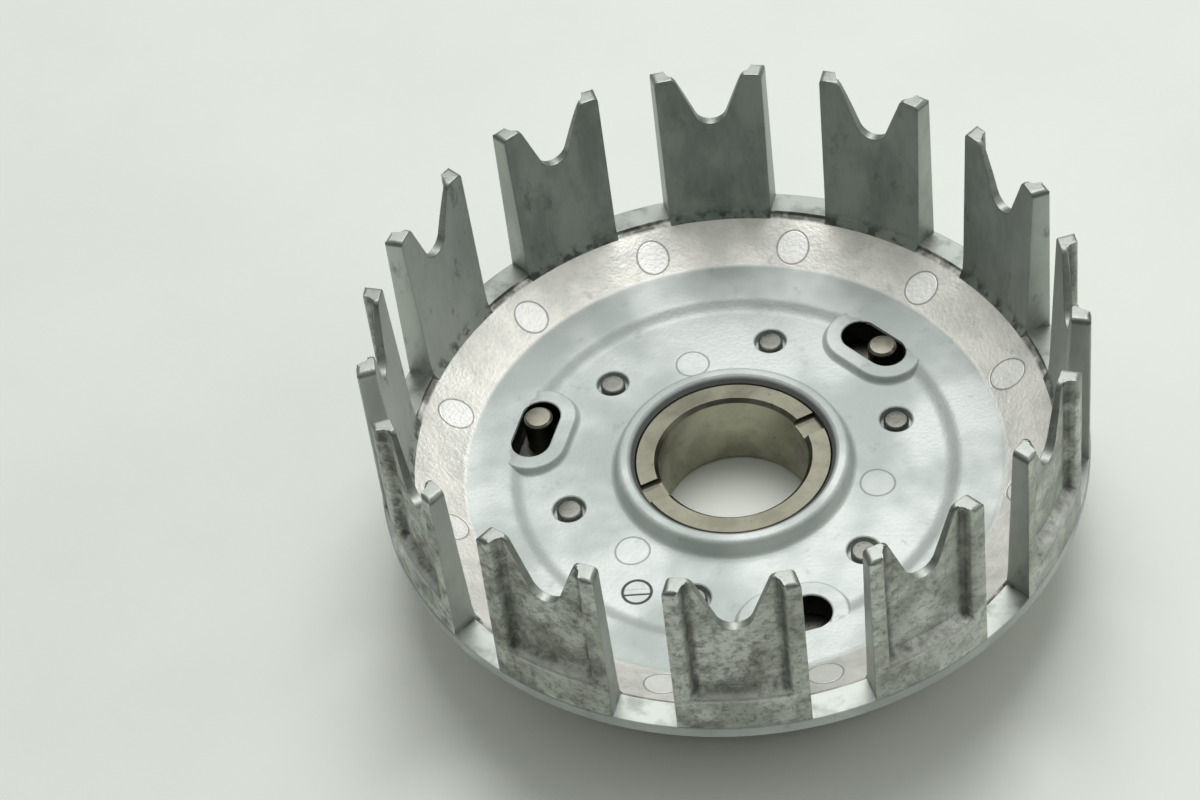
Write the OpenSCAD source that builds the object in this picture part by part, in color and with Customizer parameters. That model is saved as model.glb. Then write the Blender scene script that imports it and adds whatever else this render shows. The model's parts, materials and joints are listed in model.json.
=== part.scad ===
// Motorcycle clutch basket with its primary driven gear and cush drive.
// The hub axis is +Z, the origin is the centre of the hub's rear face, and the open end is up.

/* [Drum] */
// Inner diameter between the fingers, at their feet
drum_bore_d = 152; // [148:1:190]
// Number of fingers, and of the gaps between them
finger_count = 12; // [10:1:13]
// Width of the gap that a plate tab slides in
gap_w = 14; // [11:0.5:17]
// Height of the fingers above the sill between them
finger_h = 44.4; // [34:0.2:60]
// Thickness of the drum wall at the fingers' feet
wall_root_t = 6.1; // [5.5:0.1:7.5]
// Thickness of a finger's side ribs at its tip
wall_tip_t = 4.2; // [3.6:0.1:5]
// How much wider the bore is at the fingers' tips, on each side
tip_draft = 0.5; // [0:0.1:1]
// Width of the two ribs down the outside of a finger
rib_w = 4.6; // [3.6:0.1:5.5]
// Thickness of the web between the ribs at the pocket's foot
web_root_t = 3.2; // [2.4:0.1:4]
// Thickness of the web at the finger's tip
web_tip_t = 1.8; // [1.4:0.1:2.6]
// Height of the pocket's lower lip above the sill
pocket_h = 8.8; // [6:0.2:12]
// Width of the notch in a finger's tip
notch_w = 16; // [13:0.5:16.5]
// Depth of that notch
notch_depth = 15; // [12:0.5:20]
// Radius of the notch's round bottom
notch_r = 3.8; // [2.5:0.1:4.2]

/* [Flange and floor] */
// Height of the inner floor above the hub's rear face
floor_z = 18.6; // [18.2:0.1:19]
// Thickness of the inner floor
floor_t = 5; // [4.2:0.1:5.4]
// How far the flange stands out past the fingers' feet
flange_lip = 0.3; // [0.1:0.1:1]
// Thickness of the flange at its rim
flange_t = 3.9; // [3:0.1:5]
// Width of the conical part of the floor, next to the fingers
cone_w = 12.8; // [10:0.2:16]
// Rise of the conical part up to the sill
cone_rise = 7.4; // [6:0.1:9]
// Drop from the sill to the top of the cone
sill_step = 1.3; // [0.5:0.1:2]
// Width of the nearly flat band inside the cone
band_w = 9; // [7:0.2:11]
// Height of the band's inner edge, and of the slot pads, above the inner floor
band_rise = 1.9; // [1.2:0.1:2.6]
// Slope of the band, as its rise to the foot of the cone
band_slope_rise = 0.6; // [0:0.1:1.2]
// Width of the soft step between the inner floor and the band
step_w = 5.2; // [3:0.2:6]
// Outer diameter of the boss round the hub
boss_d = 57; // [54:0.5:60]
// Height of that boss above the inner floor
boss_h = 4.3; // [3:0.1:5.5]

/* [Hub sleeve] */
// Bore of the hub, for the clutch's needle bearing or bush
hub_bore_d = 35.5; // [30:0.5:38]
// Outer diameter of the hub
hub_d = 46.54; // [38.7:0.02:48]
// Length of the hub
hub_len = 21.2; // [20.4:0.1:21.6]
// Chamfer at each end of the hub bore
hub_chamfer = 0.9; // [0.3:0.1:1.5]
// Width of the two oil notches in the hub's front face
oil_notch_w = 5.7; // [3:0.1:8]
// Depth of the oil notches
oil_notch_depth = 1.6; // [0.8:0.1:2.4]
// Angle of the first oil notch
oil_notch_angle = 24.7; // [0:0.1:180]
// Radial running clearance between the hub and the drum's boss
hub_running_clearance = 0.05; // [0.02:0.01:0.1]

/* [Primary driven gear] */
// Number of teeth
gear_teeth = 65; // [62:1:66]
// Module of the teeth
gear_module = 2; // [1.95:0.01:2.05]
// Pressure angle of the teeth
pressure_angle = 20; // [14.5:0.5:25]
// Height of the gear web's rear face
web_rear_z = 4.8; // [4.6:0.1:5.2]
// Thickness of the gear web
gear_web_t = 7.8; // [7:0.1:7.9]
// Width of the teeth
gear_face_w = 10.6; // [9:0.1:11]
// Width of the solid rim under the teeth
gear_rim_w = 2.2; // [1.6:0.1:2.6]

/* [Cush drive] */
// Diameter of the circle of stop pins and slots
pin_circle_d = 98.4; // [96:0.2:101]
// Diameter of a stop pin
pin_d = 7; // [5.8:0.1:8.4]
// How far the stop pins stand above the inner floor
pin_stand = 3.3; // [2:0.1:5]
// Width of a slot that a stop pin moves in
slot_w = 9.5; // [8.5:0.1:10.5]
// Angle between the centres of a slot's two round ends
slot_sweep = 9.6; // [7:0.1:10]
// Angle of the first slot's middle
slot_angle = 43.7; // [40:0.1:47]
// Angle of the first stop pin at rest
pin_angle = 40.5; // [38:0.1:44]
// Width of the raised pad round a slot
pad_margin = 4.3; // [3:0.1:5]
// Number of stop pins, slots and springs
damper_count = 3; // [3:1:3]
// Diameter of the circle of damper springs
spring_circle_d = 104; // [103:0.2:105]
// Angle of the first spring
spring_angle = 105; // [104:0.5:106]
// Outer diameter of an outer spring
spring_d = 12; // [10:0.2:12.2]
// Length of a fitted spring
spring_len = 24; // [20:0.5:25]
// Wire of an outer spring
spring_wire = 2.2; // [1.6:0.1:2.4]
// Wire of an inner spring
inner_wire = 1.3; // [1:0.1:1.5]

/* [Rivets and plates] */
// Diameter of the rivet circle
rivet_circle_d = 80.8; // [80:0.2:82]
// Number of rivets
rivet_count = 6; // [6:1:6]
// Angle of the first rivet
rivet_angle = 15; // [14:0.5:16]
// Diameter of a rivet's shank
rivet_d = 5.2; // [4.4:0.1:6.3]
// How much wider a rivet's closed end is than its shank
rivet_upset = 0.8; // [0.4:0.1:1.2]
// Width of the open ring round a rivet's closed end
counterbore_ring = 0.9; // [0.6:0.1:1.2]
// Depth of that counterbore
counterbore_depth = 2.2; // [1.4:0.1:2.6]
// Wall of the column that a rivet runs in
column_wall = 1.6; // [1.2:0.1:1.8]
// Diameter of a rivet's rear head
rivet_head_d = 9.6; // [8:0.1:11]
// Height of a rivet's rear head
rivet_head_h = 1.4; // [1:0.1:1.5]
// Thickness of the backing plate
plate_t = 2.4; // [2:0.1:2.4]
// Thickness of the flat friction washer in front of the gear
washer_t = 0.9; // [0.6:0.1:1.2]
// Thickness of the dished spring washer behind the gear
dished_t = 0.4; // [0.3:0.05:0.5]

/* [Hidden] */
$fn = 96;

through = 1;                 // how far a cut runs past the face it opens
face_gap = 0.1;              // gap between flat faces that slide on each other
press_gap = 0.02;            // radial gap of a fixed pin or rivet in its hole
spring_clearance = 0.4;      // space round a spring in its window

// Drum
drum_r = drum_bore_d / 2;
finger_step = 360 / finger_count;
sill_z = floor_z + band_rise + band_slope_rise + cone_rise;
tip_z = sill_z + finger_h;
tip_r = drum_r + tip_draft;
flange_r = drum_r + wall_root_t + flange_lip;
cone_top_z = sill_z - sill_step;
cone_inset = 0.8;            // the cone stops this far inside the drum wall
band_out_r = drum_r - cone_w;
band_out_z = floor_z + band_rise + band_slope_rise;
band_in_r = band_out_r - band_w;
band_in_z = floor_z + band_rise;
floor_r = band_in_r - step_w;
pad_rise = band_rise - 0.1;  // the slots' pads stop just below the band
rear_z = floor_z - floor_t;
rim_edge = 1;                // chamfer under the flange's rim
half_finger_w = (drum_r + wall_root_t) * sin(finger_step / 2) - gap_w / 2;
pocket_half_w = half_finger_w - rib_w;
pocket_lip = 3.2;            // height of the slope at the pocket's foot
notch_side = 21;             // how far the notch's sides lean out

// Hub and its boss
hub_r = hub_d / 2;
boss_bore_r = hub_r + hub_running_clearance;
boss_r = boss_d / 2;
boss_top_z = floor_z + boss_h;
boss_lead_in = 1.3;          // chamfer at the mouth of the boss's bore
notch_cut_r = (pow(oil_notch_w / 2, 2) + pow(oil_notch_depth, 2)) / (2 * oil_notch_depth);

// Gear
pitch_r = gear_teeth * gear_module / 2;
gear_tip_r = pitch_r + gear_module;
gear_root_r = pitch_r - 1.25 * gear_module;
base_r = pitch_r * cos(pressure_angle);
gear_web_top_z = web_rear_z + gear_web_t;
rim_top_z = web_rear_z + gear_face_w;
gear_rim_in_r = gear_root_r - gear_rim_w;
rear_flat_r = gear_rim_in_r - 1.4;
rim_room_z = rim_top_z + 0.9;

// Springs
spring_circle_r = spring_circle_d / 2;
spring_z = web_rear_z + gear_web_t / 2;
spring_room_r = spring_d / 2 + spring_clearance;
window_len = spring_len + 2 * face_gap;
inner_spring_d = spring_d - 2 * spring_wire - 2 * spring_clearance;

// Pins, rivets, plates
pin_circle_r = pin_circle_d / 2;
rivet_circle_r = rivet_circle_d / 2;
rivet_end_d = rivet_d + rivet_upset;
counterbore_d = rivet_end_d + 2 * counterbore_ring;
column_r = rivet_d / 2 + column_wall;
plate_top_z = web_rear_z - dished_t - 0.4;
plate_z = plate_top_z - plate_t;
plate_r = gear_root_r - 1.5;
plate_bore_r = hub_r + 1.7;
plate_drop = spring_z - plate_top_z;
plate_window_w = 2 * sqrt(pow(spring_d / 2, 2) - pow(plate_drop, 2)) + 0.8;
washer_in_r = boss_bore_r + 2;
washer_out_r = rivet_circle_r - column_r - 3;

// Travel of the gear and its pins against the drum, from the slots
pin_play = slot_sweep / 2 + asin((slot_w - pin_d) / 2 / pin_circle_r);
travel_back = pin_play + (pin_angle - slot_angle);
travel_on = pin_play - (pin_angle - slot_angle);
column_room = 0.5;           // clear space round a column in the gear
column_cut_r = column_r + column_room;
column_cut_sweep = travel_back + travel_on + 1;
column_cut_mid = (travel_back - travel_on) / 2;

// A point on a circle
function polar(r, a) = [r * cos(a), r * sin(a)];

// Involute function, in degrees
function inv(a) = tan(a) * 180 / PI - a;

// Half the angle of a gear tooth at radius r
function tooth_half(r) = 90 / gear_teeth + inv(pressure_angle) - inv(acos(base_r / r));

// The outline of one tooth, from root to tip and back
function tooth(a) = let (rs = [for (i = [0:3]) gear_root_r + (gear_tip_r - gear_root_r) * i / 3])
    concat([for (i = [0:3]) polar(rs[i], a - tooth_half(rs[i]))],
        [for (i = [3:-1:0]) polar(rs[i], a + tooth_half(rs[i]))]);

// A curved slot of half width w round the axis, from angle -sweep/2 to sweep/2
module kidney(r, w, sweep, z, h) {
    translate([0, 0, z]) {
        rotate(-sweep / 2) rotate_extrude(angle = sweep) translate([r - w, 0]) square([2 * w, h]);
        for (s = [-1, 1]) rotate(s * sweep / 2) translate([r, 0, 0]) cylinder(r = w, h = h);
    }
}

// A box that lies along the direction round the axis, centred on radius r
module tangent_box(r, radial, along, z, h) {
    translate([r - radial / 2, -along / 2, z]) cube([radial, along, h]);
}

// The bowl: boss, stepped floor, cone and flange, as one turned shape
module bowl() {
    rotate_extrude() polygon([
        [boss_bore_r, rear_z], [rear_flat_r, rear_z], [rear_flat_r + 0.8, rim_room_z],
        [band_out_r, rim_room_z], [gear_tip_r + 1, max(rim_room_z, cone_z(gear_tip_r + 1) - floor_t)],
        [drum_r - cone_inset, cone_top_z - floor_t], [flange_r - 2 * rim_edge, sill_z - flange_t],
        [flange_r - rim_edge, sill_z - flange_t], [flange_r, sill_z - flange_t + rim_edge],
        [flange_r, sill_z], [drum_r, sill_z], [drum_r, cone_top_z + cone_inset],
        [drum_r - cone_inset, cone_top_z], [band_out_r, band_out_z], [band_in_r, band_in_z],
        [band_in_r - step_w / 3, band_in_z - band_rise * 0.2],
        [floor_r + step_w / 3, floor_z + band_rise * 0.2], [floor_r, floor_z],
        [boss_r, floor_z], [boss_r - 0.9, boss_top_z - 1], [boss_r - 1.6, boss_top_z - 0.3],
        [boss_r - 2.4, boss_top_z], [boss_bore_r + boss_lead_in + 0.5, boss_top_z],
        [boss_bore_r + boss_lead_in, boss_top_z - 0.3],
        [boss_bore_r, boss_top_z - 0.3 - boss_lead_in]]);
}

// Height of the cone's upper face at radius r
function cone_z(r) = band_out_z + (cone_top_z - band_out_z) * (r - band_out_r)
    / (drum_r - cone_inset - band_out_r);

// The drum wall that the fingers are cut from
module drum_wall() {
    rotate_extrude() polygon([
        [drum_r, sill_z - through], [drum_r + wall_root_t, sill_z - through],
        [drum_r + wall_root_t, sill_z], [tip_r + wall_tip_t, tip_z], [tip_r, tip_z], [drum_r, sill_z]]);
}

// The pockets between the ribs of every finger
module pockets() {
    intersection() {
        rotate_extrude() polygon([
            [drum_r + web_root_t, sill_z + pocket_h + pocket_lip], [flange_r, sill_z + pocket_h],
            [flange_r + through, sill_z + pocket_h], [flange_r + through, tip_z + through],
            [tip_r + web_tip_t, tip_z + through]]);
        for (i = [0:finger_count - 1]) rotate(i * finger_step)
            tangent_box(drum_r + 10, 20, 2 * pocket_half_w, sill_z, finger_h + 2 * through);
    }
}

// The notch in a finger's tip, seen along the radius: straight sides that lean out from a round bottom
module notch_outline() {
    arc = [for (i = [0:8]) polar(notch_r, 180 + notch_side + i * (180 - 2 * notch_side) / 8)];
    last = arc[8] - [0, notch_depth - notch_r];
    mouth = notch_w / 2 + through * (notch_w / 2 - last[0]) / -last[1];
    polygon(concat([[-mouth, through]], [for (p = arc) p - [0, notch_depth - notch_r]], [[mouth, through]]));
}

// The ring of fingers, with its pockets, gaps and notches cut
module fingers() {
    difference() {
        drum_wall();
        pockets();
        for (i = [0:finger_count - 1]) {
            rotate((i + 0.5) * finger_step)
                tangent_box(drum_r + 5, 20, gap_w, sill_z - 2 * through, finger_h + 3 * through);
            rotate(i * finger_step) translate([drum_r - 5, 0, tip_z])
                rotate([90, 0, 90]) linear_extrude(20) notch_outline();
        }
    }
}

// The aluminium die-casting: drum, fingers, floor and rivet columns
module clutch_basket() {
    color("lightgray") difference() {
        union() {
            bowl();
            fingers();
            for (i = [0:damper_count - 1]) rotate(slot_angle + i * 360 / damper_count)
                kidney(pin_circle_r, slot_w / 2 + pad_margin, slot_sweep, rear_z, floor_t + pad_rise);
            for (i = [0:rivet_count - 1]) rotate(rivet_angle + i * 360 / rivet_count)
                translate([rivet_circle_r, 0, plate_top_z])
                    cylinder(r = column_r, h = rear_z - plate_top_z + through);
        }
        for (i = [0:damper_count - 1]) {
            rotate(slot_angle + i * 360 / damper_count)
                kidney(pin_circle_r, slot_w / 2, slot_sweep, rear_z - through, floor_t + band_rise + 2 * through);
            rotate(spring_angle + i * 360 / damper_count)
                translate([spring_circle_r, window_len / 2, spring_z])
                    rotate([90, 0, 0]) cylinder(r = spring_room_r, h = window_len);
        }
        for (i = [0:rivet_count - 1]) rotate(rivet_angle + i * 360 / rivet_count)
            translate([rivet_circle_r, 0, 0]) {
                cylinder(d = rivet_d + 2 * press_gap, h = floor_z + through);
                translate([0, 0, floor_z - counterbore_depth])
                    cylinder(d = counterbore_d, h = counterbore_depth + band_rise + through);
            }
    }
}

// The steel plate that the rivets hold, with a window under each spring
module backing_plate() {
    color("slategray") difference() {
        translate([0, 0, plate_z]) cylinder(r = plate_r, h = plate_t);
        translate([0, 0, plate_z - through]) cylinder(r = plate_bore_r, h = plate_t + 2 * through);
        for (i = [0:rivet_count - 1]) rotate(rivet_angle + i * 360 / rivet_count)
            translate([rivet_circle_r, 0, 0]) cylinder(d = rivet_d + 2 * press_gap, h = plate_top_z + through);
        for (i = [0:damper_count - 1]) {
            rotate(spring_angle + i * 360 / damper_count)
                tangent_box(spring_circle_r, plate_window_w, window_len, plate_z - through, plate_t + 2 * through);
        }
    }
}

// The toothed wheel: web, raised rim, spring windows and column slots
module driven_gear() {
    color("dimgray") difference() {
        translate([0, 0, web_rear_z]) linear_extrude(gear_face_w)
            polygon([for (i = [0:gear_teeth - 1]) each tooth(i * 360 / gear_teeth)]);
        translate([0, 0, gear_web_top_z]) cylinder(r = gear_rim_in_r, h = gear_face_w);
        cylinder(r = hub_r, h = rim_top_z);
        for (i = [0:rivet_count - 1]) rotate(rivet_angle + i * 360 / rivet_count + column_cut_mid)
            kidney(rivet_circle_r, column_cut_r, column_cut_sweep, web_rear_z - through, gear_web_t + 2 * through);
        for (i = [0:damper_count - 1]) {
            rotate(spring_angle + i * 360 / damper_count)
                tangent_box(spring_circle_r, 2 * spring_room_r, window_len, web_rear_z - through, gear_web_t + 2 * through);
            rotate(pin_angle + i * 360 / damper_count) translate([pin_circle_r, 0, 0])
                cylinder(d = pin_d, h = rim_top_z);
        }
    }
}

// The ground steel sleeve that carries the gear and runs in the drum's boss
module hub_sleeve() {
    hub_bore_r = hub_bore_d / 2;
    edge = 0.4;
    color("tan") difference() {
        rotate_extrude() polygon([
            [hub_bore_r + hub_chamfer, 0], [hub_r - edge, 0], [hub_r, edge], [hub_r, hub_len - edge],
            [hub_r - edge, hub_len], [hub_bore_r + hub_chamfer, hub_len],
            [hub_bore_r, hub_len - hub_chamfer], [hub_bore_r, hub_chamfer]]);
        for (s = [0, 180]) rotate(oil_notch_angle + s)
            translate([hub_bore_r - through, 0, hub_len - oil_notch_depth + notch_cut_r])
                rotate([0, 90, 0]) cylinder(r = notch_cut_r, h = hub_r - hub_bore_r + 2 * through);
    }
}

// Rivet number n, with its closed end in the floor and its head behind the plate
module rivet(n) {
    color("silver") rotate(rivet_angle + (n - 1) * 360 / rivet_count) translate([rivet_circle_r, 0, 0]) {
        translate([0, 0, plate_z - rivet_head_h]) cylinder(d1 = rivet_head_d - 1, d2 = rivet_head_d, h = 0.5);
        translate([0, 0, plate_z - rivet_head_h + 0.5]) cylinder(d = rivet_head_d, h = rivet_head_h - 0.5);
        translate([0, 0, plate_z]) cylinder(d = rivet_d, h = floor_z - counterbore_depth - plate_z);
        translate([0, 0, floor_z - counterbore_depth]) cylinder(d = rivet_end_d, h = counterbore_depth - 0.3);
        translate([0, 0, floor_z - 0.3]) cylinder(d1 = rivet_end_d, d2 = rivet_end_d - 0.6, h = 0.3);
    }
}

// Stop pin number n, pressed into the gear and standing through its slot
module stop_pin(n) {
    chamfer = 0.5;
    pin_top_z = floor_z + pin_stand;
    color("darkkhaki") rotate(pin_angle + (n - 1) * 360 / damper_count) translate([pin_circle_r, 0, web_rear_z]) {
        cylinder(d = pin_d, h = pin_top_z - chamfer - web_rear_z);
        translate([0, 0, pin_top_z - chamfer - web_rear_z])
            cylinder(d1 = pin_d, d2 = pin_d - 2 * chamfer, h = chamfer);
    }
}

// Distance along a spring's axis at turn t, with one nearly closed turn at each end
function coil_x(t, turns, wire, len) = let (shut = 1.08 * wire, pitch = (len - 2 * shut) / (turns - 2))
    t < 1 ? shut * t : t < turns - 1 ? shut + pitch * (t - 1) : len - shut + shut * (t - turns + 1);

// A coil spring with ground ends, lying along Y and centred on the origin
module coil(outer_d, wire, turns, len, hand, sides, steps) {
    ring_r = (outer_d - wire) / 2;
    rings = turns * steps;
    points = [for (i = [0:rings]) let (t = i / steps, y = coil_x(t, turns, wire, len) - len / 2)
        for (j = [0:sides - 1]) let (a = 360 * j / sides, r = ring_r + wire / 2 * cos(a),
            end = len / 2, flat_y = max(-end, min(end, y + wire / 2 * sin(a))))
            [r * cos(360 * t), hand * flat_y, r * sin(360 * t)]];
    walls = [for (i = [0:rings - 1]) for (j = [0:sides - 1])
        let (a = i * sides + j, b = i * sides + (j + 1) % sides, c = b + sides, d = a + sides)
        each hand > 0 ? [[a, b, c], [a, c, d]] : [[c, b, a], [d, c, a]]];
    low = floor(sides / 4);
    high = rings * sides + floor(3 * sides / 4);
    first = [for (j = [0:sides - 1]) if (j != low && (j + 1) % sides != low) [low, (j + 1) % sides, j]];
    last = [for (j = [0:sides - 1]) let (a = rings * sides + j, b = rings * sides + (j + 1) % sides)
        if (a != high && b != high) [high, a, b]];
    ends = concat(first, last);
    polyhedron(points, concat(walls, hand > 0 ? ends : [for (t = ends) [t[0], t[2], t[1]]]));
}

// Puts a spring in window number n
module in_window(n) {
    rotate(spring_angle + (n - 1) * 360 / damper_count) translate([spring_circle_r, 0, spring_z]) children();
}

// The outer spring in window n
module outer_spring(n) {
    color("darkslategray") in_window(n) coil(spring_d, spring_wire, 6.5, spring_len, 1, 8, 14);
}

// The inner spring in window n, wound the other way
module inner_spring(n) {
    color("gray") in_window(n) coil(inner_spring_d, inner_wire, 9.5, spring_len, -1, 6, 12);
}

// The flat steel washer between the drum's floor and the gear
module friction_washer() {
    color("gainsboro") translate([0, 0, rear_z - washer_t]) difference() {
        cylinder(r = washer_out_r, h = washer_t);
        translate([0, 0, -through]) cylinder(r = washer_in_r, h = washer_t + 2 * through);
    }
}

// The dished steel washer that pushes the gear against the friction washer
module dished_washer() {
    cone_h = web_rear_z - plate_top_z - dished_t - face_gap;
    color("gainsboro") rotate_extrude() polygon([
        [washer_in_r, plate_top_z + cone_h], [washer_out_r, plate_top_z],
        [washer_out_r, plate_top_z + dished_t], [washer_in_r, plate_top_z + cone_h + dished_t]]);
}

clutch_basket();
backing_plate();
driven_gear();
hub_sleeve();
rivet(1);  // rivet_1
rivet(2);  // rivet_2
rivet(3);  // rivet_3
rivet(4);  // rivet_4
rivet(5);  // rivet_5
rivet(6);  // rivet_6
stop_pin(1);  // stop_pin_1
stop_pin(2);  // stop_pin_2
stop_pin(3);  // stop_pin_3
outer_spring(1);  // outer_spring_1
outer_spring(2);  // outer_spring_2
outer_spring(3);  // outer_spring_3
inner_spring(1);  // inner_spring_1
inner_spring(2);  // inner_spring_2
inner_spring(3);  // inner_spring_3
friction_washer();
dished_washer();
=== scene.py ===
"""Motorcycle clutch basket: fine shapes and finishes, built round the fixed mechanical model."""

import json
import math

import bmesh
import bpy
from mathutils import Matrix, Vector

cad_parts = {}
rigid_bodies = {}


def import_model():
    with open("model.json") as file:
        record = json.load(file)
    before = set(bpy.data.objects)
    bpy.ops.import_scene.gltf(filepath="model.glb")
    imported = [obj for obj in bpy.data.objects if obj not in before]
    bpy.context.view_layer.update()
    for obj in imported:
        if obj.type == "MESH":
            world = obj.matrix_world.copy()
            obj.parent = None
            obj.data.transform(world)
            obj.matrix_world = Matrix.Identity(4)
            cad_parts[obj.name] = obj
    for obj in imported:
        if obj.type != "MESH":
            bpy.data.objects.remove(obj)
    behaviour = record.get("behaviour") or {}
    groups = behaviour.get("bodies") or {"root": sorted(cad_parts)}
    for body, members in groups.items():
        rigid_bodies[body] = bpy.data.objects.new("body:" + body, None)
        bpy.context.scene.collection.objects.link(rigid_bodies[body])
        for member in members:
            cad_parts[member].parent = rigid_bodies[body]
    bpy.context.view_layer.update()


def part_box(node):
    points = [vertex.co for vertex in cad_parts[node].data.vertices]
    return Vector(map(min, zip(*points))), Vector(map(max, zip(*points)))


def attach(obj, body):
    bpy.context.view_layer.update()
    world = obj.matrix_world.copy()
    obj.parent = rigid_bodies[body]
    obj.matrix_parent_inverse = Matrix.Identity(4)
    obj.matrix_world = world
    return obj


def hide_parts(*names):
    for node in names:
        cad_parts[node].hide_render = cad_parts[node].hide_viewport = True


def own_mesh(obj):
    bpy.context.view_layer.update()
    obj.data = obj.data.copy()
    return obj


bl_info = {
    "name": "Clutch basket builder",
    "version": (1, 0, 0),
    "blender": (4, 5, 0),
    "location": "View3D > Sidebar > Clutch basket",
    "description": "Models a clutch basket with its cush drive, gear and hub, and gives each piece its finish",
    "category": "Object",
}

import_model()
MM = 0.001
FLOOR_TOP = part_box("rivet_1")[1][2] / MM            # the casting's inner floor, flush with the rivets
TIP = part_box("clutch_basket")[1][2] / MM            # the tops of the fingers
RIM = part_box("clutch_basket")[1][0] / MM            # the outer radius of the flange
COLUMN_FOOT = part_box("clutch_basket")[0][2] / MM    # the rear ends of the rivet columns
HUB_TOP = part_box("hub_sleeve")[1][2] / MM
PIN_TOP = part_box("stop_pin_1")[1][2] / MM
FINGERS, RIVETS, DAMPERS = 12, 6, 3
PIN_CIRCLE, RIVET_CIRCLE, SPRING_CIRCLE = 49.2, 40.4, 52.0      # radii in mm
PIN_ANGLE, SLOT_ANGLE, RIVET_ANGLE, SPRING_ANGLE = 40.5, 43.7, 15.0, 105.0     # the first of each, in degrees
SLOT_HALF, SLOT_SWEEP, SLOT_FOOT = 4.75, 4.8, 13.58     # half the slots' width, degrees either side, and their rear, in mm
SPRING_Z = 8.7
DATE_CIRCLE, DATE_ANGLE = 43.2, 237.3


# ---------------------------------------------------------------- small modelling helpers

def fresh(primitive, name, **place):
    """Adds one primitive with nothing else selected and opens it in edit mode."""
    bpy.ops.object.select_all(action="DESELECT")
    primitive(**place)
    piece = bpy.context.object
    piece.name = piece.data.name = name
    bpy.ops.object.mode_set(mode="EDIT")
    bpy.ops.mesh.select_mode(type="VERT")
    bpy.ops.mesh.select_all(action="DESELECT")
    return piece


def choose(piece, kind, test):
    """Selects only the vertices, edges or faces of the piece in edit mode that pass the test."""
    bpy.ops.mesh.select_mode(type=kind)
    bpy.ops.mesh.select_all(action="DESELECT")
    shape = bmesh.from_edit_mesh(piece.data)
    parts = {"VERT": shape.verts, "EDGE": shape.edges, "FACE": shape.faces}[kind]
    for part in [part for part in parts if test(part)]:
        part.select_set(True)
    bmesh.update_edit_mesh(piece.data)


def middle(part):
    """The middle of an edge or face, in mm."""
    points = [v.co for v in part.verts]
    return sum((p / MM for p in points), points[0] * 0) / len(points)


def radius(point):
    """How far a point lies from the Z axis."""
    return math.hypot(point.x, point.y)


def shift(x=0.0, y=0.0, z=0.0):
    """Moves what is selected, in mm."""
    bpy.ops.transform.translate(value=(x * MM, y * MM, z * MM))


def turn(degrees, centre=(0, 0, 0), axis="Z"):
    """Turns what is selected by the right-hand rule about an axis through the centre, in mm.
    With no window the operator turns the other way, so it is given the opposite angle."""
    bpy.ops.transform.rotate(value=-math.radians(degrees), orient_axis=axis, orient_type="GLOBAL",
                             center_override=[c * MM for c in centre])


def rounded(corners):
    """A list of (across, up, rounding) corners in mm, with an arc of points put at each rounded corner."""
    points = []
    for i, (x, y, rounding) in enumerate(corners):
        (px, py), (nx, ny) = corners[i - 1][:2], corners[(i + 1) % len(corners)][:2]
        a, b = math.atan2(py - y, px - x), math.atan2(ny - y, nx - x)
        opening = abs((b - a + math.pi) % (2 * math.pi) - math.pi)
        if not rounding or opening > math.radians(178):
            points.append((x, y))
            continue
        back = min(rounding / math.tan(opening / 2), 0.48 * math.dist((x, y), (px, py)), 0.48 * math.dist((x, y), (nx, ny)))
        start = (x + back * math.cos(a), y + back * math.sin(a))
        end = (x + back * math.cos(b), y + back * math.sin(b))
        steps = max(2, round((math.pi - opening) / math.radians(14)))
        arc_radius, bisector = back * math.tan(opening / 2), math.atan2(start[1] + end[1] - 2 * y, start[0] + end[0] - 2 * x)
        reach = math.hypot(back, arc_radius)
        centre = (x + reach * math.cos(bisector), y + reach * math.sin(bisector))
        first, last = (math.atan2(p[1] - centre[1], p[0] - centre[0]) for p in (start, end))
        sweep = (last - first + math.pi) % (2 * math.pi) - math.pi
        points += [(centre[0] + arc_radius * math.cos(first + sweep * k / steps),
                    centre[1] + arc_radius * math.sin(first + sweep * k / steps)) for k in range(steps + 1)]
    return points


def drawn(name, points, closed=True):
    """An outline through points (x, y, z) in mm, extruded from one vertex, left in edit mode."""
    piece = fresh(bpy.ops.mesh.primitive_plane_add, name, size=MM)
    bpy.ops.mesh.select_all(action="SELECT")
    bpy.ops.mesh.merge(type="CENTER")
    shift(*points[0])
    for here, there in zip(points, points[1:]):
        bpy.ops.mesh.extrude_region_move(TRANSFORM_OT_translate={"value": [(t - h) * MM for h, t in zip(here, there)]})
    if closed:
        shape = bmesh.from_edit_mesh(piece.data)
        ends = [v for v in shape.verts if len(v.link_edges) == 1]
        choose(piece, "VERT", lambda v: v in ends)
        bpy.ops.mesh.edge_face_add()
    return piece


def tidy(piece, merge=0.002):
    """Merges doubles, turns the faces outwards and leaves edit mode."""
    bpy.ops.mesh.select_mode(type="VERT")
    bpy.ops.mesh.select_all(action="SELECT")
    bpy.ops.mesh.remove_doubles(threshold=merge * MM)
    bpy.ops.mesh.normals_make_consistent(inside=False)
    bpy.ops.mesh.select_all(action="DESELECT")
    bpy.ops.object.mode_set(mode="OBJECT")
    return piece


def spun(name, corners, steps, closed=True):
    """A turned shape: an outline of (radius, height, rounding) corners in mm, spun round the Z axis."""
    outline = rounded(corners)
    piece = drawn(name, [(r, 0, z) for r, z in outline], closed)
    bpy.ops.mesh.select_all(action="SELECT")
    bpy.ops.mesh.spin(steps=steps, angle=2 * math.pi, center=(0, 0, 0), axis=(0, 0, 1), use_auto_merge=True)
    return tidy(piece)


def settled():
    """Puts the open piece's place and turn into its mesh."""
    bpy.ops.object.mode_set(mode="OBJECT")
    bpy.ops.object.transform_apply(location=True, rotation=True, scale=True)
    bpy.ops.object.mode_set(mode="EDIT")


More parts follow.
